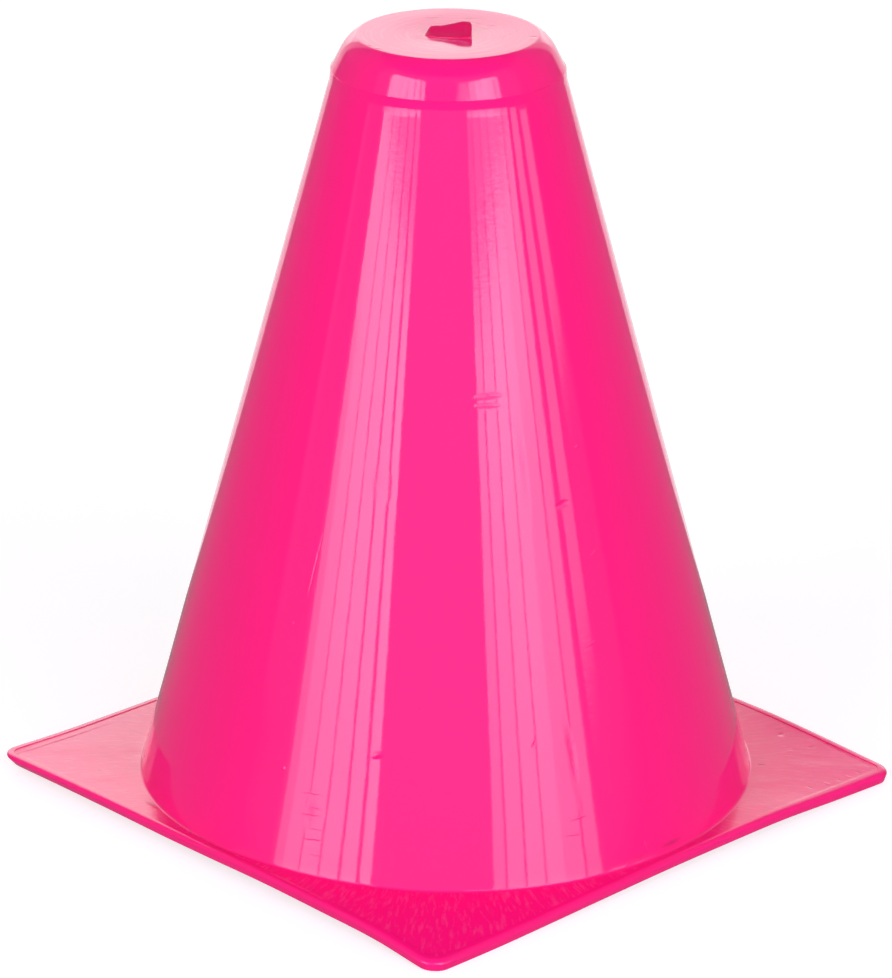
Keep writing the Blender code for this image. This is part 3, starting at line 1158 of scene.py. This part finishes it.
@dataclass(frozen=True)
class Studio:
    """The room round the cone: a pale floor, two tall windows in front and a pale wall behind."""

    # The room's half width, the corners of its round floor, and the world's light
    radius: float = 3.0
    floor_corners: int = 96
    room_light: float = 0.3

    # The windows, the pale strips of wall beside them, the colour of the daylight and its
    # radiance by elevation
    left: Window = Window(
        (
            Pane(-65.5, -62.2, 0.9, 0.9, 28.0),
            Pane(-62.2, -58.6, 0.95, 0.65),
            Pane(-58.6, -52.2, 0.95, 0.9),
            Pane(-51.7, -44.8),
            Pane(-44.2, -37.4),
            Pane(-36.4, -30.9),
            Pane(-29.5, -25.5),
        )
    )
    right: Window = Window(
        (
            Pane(9.5, 17.5, 0.9, 0.9, 28.0),
            Pane(17.5, 21.6, 0.8, 0.7),
            Pane(22.4, 28.6, 0.95, 0.85),
            Pane(29.3, 35.8, 1.1, 0.95),
            Pane(36.4, 43.0, 1.1, 1.0),
            Pane(43.0, 50.5, 0.95, 0.8),
            Pane(51.3, 56.8, 0.75, 0.7),
        )
    )
    near_strip: Window = Window((Pane(60.2, 66.5),), 0.5, 3.2, 26.0)
    far_strip: Window = Window((Pane(70.6, 77.9),), 0.45, 6.5, 26.0)
    left_strip: Window = Window((Pane(-81.0, -77.0),), 0.13, -1.0, 33.0)
    daylight: str = "#F0EBFF"
    daylight_levels: Levels = (
        (-2, 3.5),
        (3, 4.3),
        (7, 5.3),
        (12, 6.0),
        (16, 5.2),
        (29, 5.2),
        (33, 6.4),
    )

    # Where the walls end, as azimuths to both sides of the camera and as elevations, in degrees,
    # and their radiances. The wall behind the cone grows paler up to a rail, and above that from
    # side to side. Paired lights hold below and above a change, or before and behind an edge
    back_edge: float = 154.0
    corner_edge: float = 144.0
    side_edge: float = 80.0
    front_edges: tuple[float, float] = (-64.0, 58.0)
    wall_top: float = 40.0
    ceiling_start: float = 50.0
    rail: float = 19.0
    back_levels: Levels = ((-4, 1.0), (3, 1.4), (8, 1.9), (13, 2.5), (17, 2.0))
    back_upper: Levels = ((20, 1.15), (24, 0.95), (28, 1.1), (32, 0.8))
    back_sides: Levels = ((-6, 1.35), (6, 2.4))
    corner_light: float = 1.0
    ceiling_light: float = 0.2
    front_change: float = 25.0
    front_lights: tuple[float, float] = (0.7, 0.5)
    side_lights: tuple[float, float] = (0.45, 0.25)
    side_glow: float = 0.08
    side_glow_span: tuple[float, float] = (14.0, 50.0)

    # The grid of the walls beside those edges, in degrees
    column_pitch: int = 10
    back_columns: tuple[float, ...] = (174.0, 176.0, 178.0, 180.0)
    low_rows: tuple[int, int] = (-8, 28)
    upper_rows: tuple[float, ...] = (30.0, 32.0, 34.0, 36.0, 60.0, 70.0, 80.0, 89.0)

    # Soft boxes stand before the windows between two elevations, where the radiance is above a
    # limit. They light the cone but aren't mirrored in it, and the windows there are mirrored dimly
    box_span: tuple[float, float] = (13.0, 30.0)
    box_limit: float = 3.0
    box_place: float = 0.99
    mirrored: float = 0.45

    # The grey card, from its gap to the plate to its outer radius, and how far it reaches round
    # the cone to both sides of the camera, in degrees
    card_reach: float = 148.0
    card_gap: float = -4.0 * MM
    card_radius: float = 2.9
    card_steps: int = 146
    card_rise: float = 0.2 * MM
    card_light: float = 0.26

    def windows(self) -> tuple[Window, ...]:
        """List the windows and the strips beside them."""
        return self.left, self.right, self.near_strip, self.far_strip, self.left_strip

    def brightness(self, azimuth: float, elevation: float) -> tuple[float, float, float]:
        """Give the room's light in a direction.

        Args:
            azimuth: Degrees from the camera's, positive to its right.
            elevation: Degrees above the floor.

        Returns:
            The radiance in red, green and blue, where 1 is white.
        """
        for window in self.windows():
            share = window.share(azimuth, elevation)
            if share is not None:
                light = level_at(elevation, self.daylight_levels) * share
                red, green, blue, _ = linear(self.daylight)
                return light * red, light * green, light * blue
        level = self.wall_level(azimuth, elevation)
        return level, level, level

    def wall_level(self, azimuth: float, elevation: float) -> float:
        """Give the grey light of the walls and the ceiling in a direction.

        Args:
            azimuth: Degrees from the camera's, positive to its right.
            elevation: Degrees above the floor.

        Returns:
            The radiance, where 1 is white.
        """
        side = abs(azimuth)
        if side > self.back_edge and elevation < self.wall_top:
            if elevation < self.rail:
                return level_at(elevation, self.back_levels)
            across = level_at(azimuth % 360 - 180, self.back_sides)
            return across * level_at(elevation, self.back_upper)
        if side > self.corner_edge and elevation < self.wall_top:
            return self.corner_light
        if elevation > self.ceiling_start:
            return self.ceiling_light
        if self.front_edges[0] < azimuth < self.front_edges[1]:
            return self.front_lights[elevation > self.front_change]
        glow = self.side_glow_span[0] < elevation < self.side_glow_span[1]
        return self.side_lights[side > self.side_edge] + self.side_glow * glow

    def walls(self) -> None:
        """Build the walls and the ceiling, and soft boxes that mirror less than they light."""
        azimuths = {0.0, *self.front_edges}
        for edge in (self.side_edge, self.corner_edge, self.back_edge, *self.back_columns):
            azimuths |= {-edge, edge}
        azimuths |= {float(turn) for turn in range(-180, 180, self.column_pitch)}
        elevations = {self.wall_top, self.ceiling_start, *self.upper_rows}
        elevations |= {float(rise) for rise in range(*self.low_rows)}
        for window in self.windows():
            for pane in window.panes:
                azimuths |= {pane.start, pane.end}
                elevations |= {max(pane.bottom, window.bottom)}
            elevations |= {window.bottom, window.top, window.sill}
        columns, levels = sorted(azimuths), sorted(elevations)
        cells, lights, box_cells, box_lights = [], [], [], []
        for low, high in zip(levels, levels[1:]):
            for start, end in zip(columns, columns[1:]):
                light = self.brightness((start + end) / 2, (low + high) / 2)
                cells.append((start, end, low, high))
                behind_box = self.box_span[0] <= low and high <= self.box_span[1]
                if max(light) > self.box_limit and behind_box:
                    box_cells.append(cells[-1])
                    box_lights += light
                    light = tuple(value * self.mirrored for value in light)
                lights += light
        self.screen("room_walls", self.radius, cells, lights)
        boxes = self.screen("soft_boxes", self.radius * self.box_place, box_cells, box_lights)
        boxes.visible_glossy = False

    def screen(
        self, name: str, radius: float, cells: list[Cell], lights: list[float]
    ) -> bpy.types.Object:
        """Hang a bright screen round the cone, which isn't seen itself.

        Args:
            name: The screen's name.
            radius: How far from the cone it hangs.
            cells: Its cells, each from one azimuth to another and from one elevation to another.
            lights: Red, green and blue of each cell, one after the other.

        Returns:
            The screen.
        """
        vertices, faces = [], []
        for start, end, low, high in cells:
            corner = len(vertices)
            for column, level in ((start, low), (start, high), (end, high), (end, low)):
                vertices.append(facing(math.radians(column), math.radians(level)) * radius)
            faces.append((corner, corner + 1, corner + 2, corner + 3))
        screen = add_object(name, vertices, faces)
        light = screen.data.attributes.new("light", "FLOAT_VECTOR", "FACE")
        light.data.foreach_set("vector", lights)
        screen.data.materials.append(OpalPanel(f"lit_{name}", tint="light").build())
        screen.visible_camera = False
        return screen

    def card(self, plate_side: float) -> None:
        """Lay a grey card round the plate, which only reflections see.

        Without it the white floor would bleach the plate's edges and the sides of the flank.

        Args:
            plate_side: The side of the square plate that the card is cut out for.
        """
        vertices, faces = [], []
        half = plate_side / 2 + self.card_gap
        for step in range(self.card_steps + 1):
            turn = math.radians(self.card_reach * (2 * step / self.card_steps - 1))
            out = facing(turn)
            for reach in (half / max(abs(out.x), abs(out.y)), self.card_radius):
                vertices.append(out * reach)
        for step in range(self.card_steps):
            corner = 2 * step
            faces.append((corner, corner + 1, corner + 3, corner + 2))
        card = add_object("floor_card", vertices, faces)
        card.data.materials.append(OpalPanel("grey_card", self.card_light).build())
        card.location.z = self.card_rise
        card.visible_camera = False
        card.visible_diffuse = False
        card.visible_shadow = False

    def floor(self) -> None:
        """Lay the pale floor, which keeps the cone's shadow."""
        turns = [2 * math.pi * i / self.floor_corners for i in range(self.floor_corners)]
        ring = [(self.radius * math.cos(t), self.radius * math.sin(t), 0.0) for t in turns]
        floor = add_object("floor", ring, [tuple(range(self.floor_corners))])
        floor.data.materials.append(MattPaper().build())

    def world(self) -> None:
        """Fill the room with soft light, and make what is seen of it white."""
        world = bpy.data.worlds.new("room")
        bpy.context.scene.world = world
        world.use_nodes = True
        tree = world.node_tree
        background = tree.nodes["Background"]
        background.inputs["Color"].default_value = (1, 1, 1, 1)
        shown = {"Value": seen_directly(tree), "To Min": self.room_light, "To Max": 1.0}
        strength = add_node(tree, "MapRange", shown)
        tree.links.new(strength.outputs[0], background.inputs["Strength"])

    def build(self, plate_side: float) -> None:
        """Set up the whole room.

        Args:
            plate_side: The side of the cone's square plate.
        """
        self.floor()
        self.walls()
        self.card(plate_side)
        self.world()


@dataclass(frozen=True)
class Camera:
    """The photograph's camera, fitted to the plate's corners and the cone's outline."""

    focal_pixels: float = 5000.0
    sensor: float = 36.0
    elevation: float = math.radians(21.29)
    roll: float = math.radians(0.243)
    distance: float = 1.14595
    target_height: float = 75.5 * MM
    offset_right: float = -0.14 * MM
    offset_up: float = -3.546 * MM
    clip_start: float = 10.0 * MM

    def build(self) -> None:
        """Place the camera and make it the scene's."""
        data = bpy.data.cameras.new("camera")
        data.sensor_width = self.sensor
        data.lens = self.focal_pixels * self.sensor / max(PHOTO_SIZE)
        data.clip_start = self.clip_start
        back = facing(0.0, self.elevation)
        level = facing(math.pi / 2)
        above = back.cross(level)
        right = level * math.cos(self.roll) + above * math.sin(self.roll)
        up = above * math.cos(self.roll) - level * math.sin(self.roll)
        place = Vector((0, 0, self.target_height)) + back * self.distance
        place += right * self.offset_right + up * self.offset_up
        camera = bpy.data.objects.new("camera", data)
        turn = Matrix((right, up, back)).transposed().to_4x4()
        camera.matrix_world = Matrix.Translation(place) @ turn
        bpy.context.scene.collection.objects.link(camera)
        bpy.context.scene.camera = camera


def main() -> None:
    """Build the camera, the room and the cone."""
    logging.basicConfig(level=logging.INFO, format="%(message)s")
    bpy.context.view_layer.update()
    Camera().build()
    cone = ConeShell()
    Studio().build(cone.plate_side)
    shell = cone.build()
    cone.dress(shell)
    gate = SprueStub()
    stub = gate.build(cone.height + cone.body_lift - cone.dish_depth)
    gate.dress(stub)
    for piece in (shell, stub):
        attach(piece, BODY)
        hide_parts(CAD_NODE)
        log.info("%s: %d faces", piece.name, len(piece.data.polygons))
    bpy.context.scene.view_settings.view_transform = "Standard"


if __name__ == "__main__":
    main()
